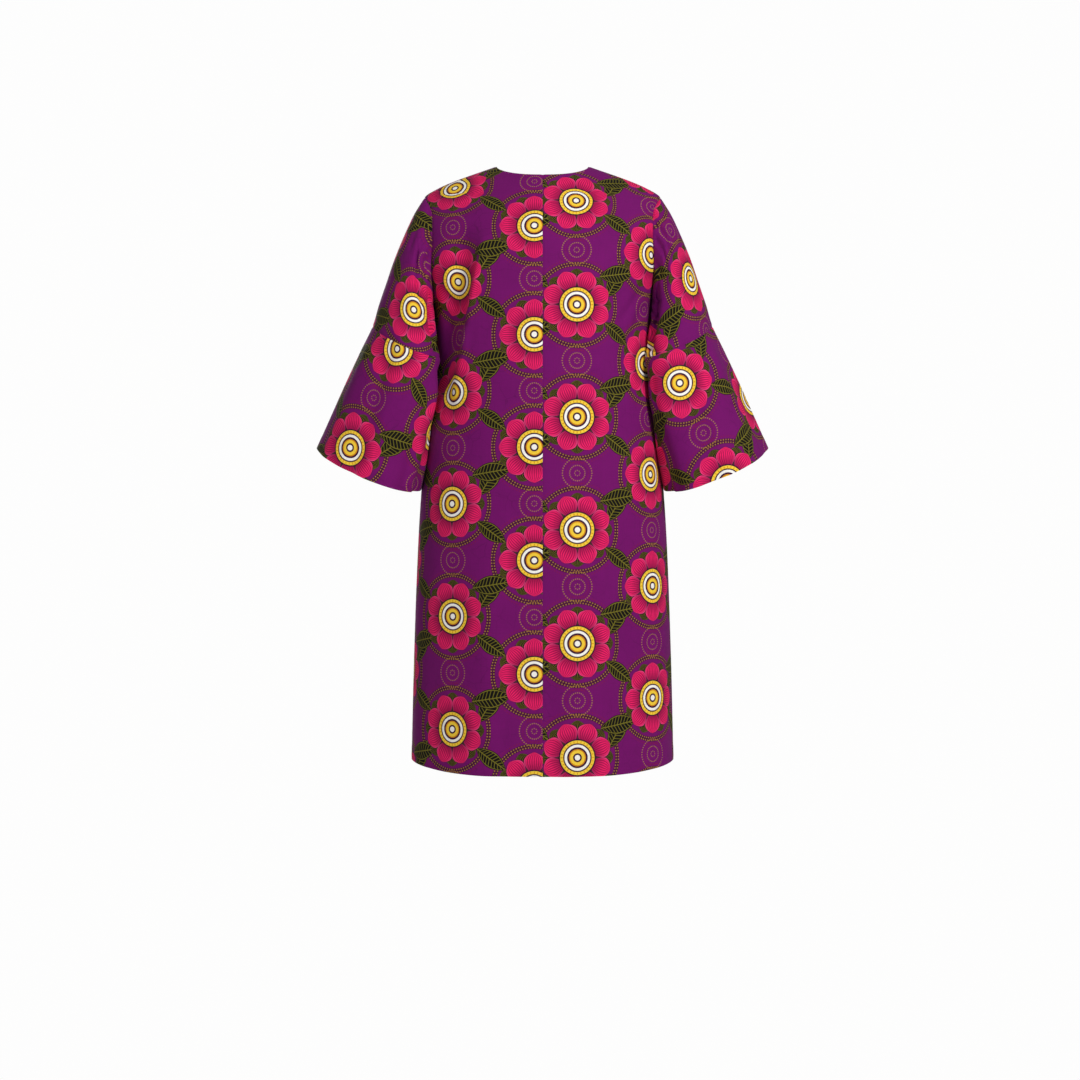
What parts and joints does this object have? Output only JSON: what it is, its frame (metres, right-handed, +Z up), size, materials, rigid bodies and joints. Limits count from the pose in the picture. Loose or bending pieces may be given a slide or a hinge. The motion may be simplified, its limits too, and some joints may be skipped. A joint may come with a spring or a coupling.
{
  "type": "african print kimono jacket",
  "caption": "Knee-length open-front kimono jacket in wax-print cotton with flared three-quarter sleeves, hollow as it hangs when worn.",
  "frame": {"origin": "midway between the two points where the shoulder seams meet the neckline, on the wearer's shoulders", "axes": "+Z up, +X towards the wearer's left, -Y towards the open front"},
  "size_m": [0.786, 0.3178, 1.048],
  "materials": {
    "print_cotton": "crisp plain-weave cotton with a wax print, slight sheen"
  },
  "bodies": {
    "root": {"back_left": "print_cotton", "back_right": "print_cotton", "front_left": "print_cotton", "front_right": "print_cotton", "sleeve_upper_left": "print_cotton", "sleeve_upper_right": "print_cotton", "sleeve_flare_left": "print_cotton", "sleeve_flare_right": "print_cotton"}
  },
  "joints": []
}
